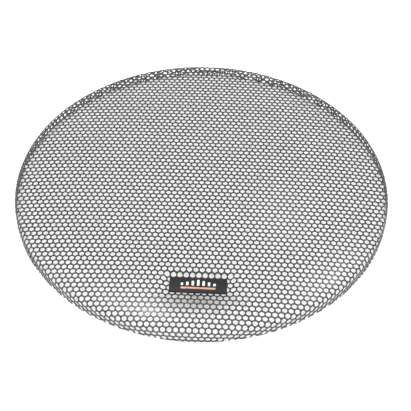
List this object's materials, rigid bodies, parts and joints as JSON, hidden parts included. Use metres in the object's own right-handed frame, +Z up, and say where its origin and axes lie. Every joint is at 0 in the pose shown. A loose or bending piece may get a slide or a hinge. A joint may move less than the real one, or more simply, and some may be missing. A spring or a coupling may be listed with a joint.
{
  "type": "round speaker grille",
  "caption": "Round shallow-domed speaker grille of perforated steel with a bent skirt and a small nameplate in a pressed pocket.",
  "frame": {"origin": "centre of the skirt's bottom edge, on the face that rests on the speaker or table", "axes": "+Z up through the crown of the dome, +X along the rows of holes and the nameplate's width, nameplate towards -Y"},
  "size_m": [0.16, 0.16, 0.009],
  "materials": {
    "grille": "black powder coat, semi-gloss",
    "badge": "black anodised, satin",
    "badge_mark": "white printed enamel",
    "badge_stripe": "copper-coloured foil, satin",
    "foam_pad": "matt closed-cell foam",
    "fixing": "zinc-plated"
  },
  "bodies": {
    "root": {"grille_face": "grille", "grille_rim": "grille", "badge_plate": "badge", "badge_marks": "badge_mark", "badge_stripe": "badge_stripe", "badge_pad": "foam_pad", "badge_studs": "fixing", "stud_washers": "fixing"}
  },
  "joints": []
}
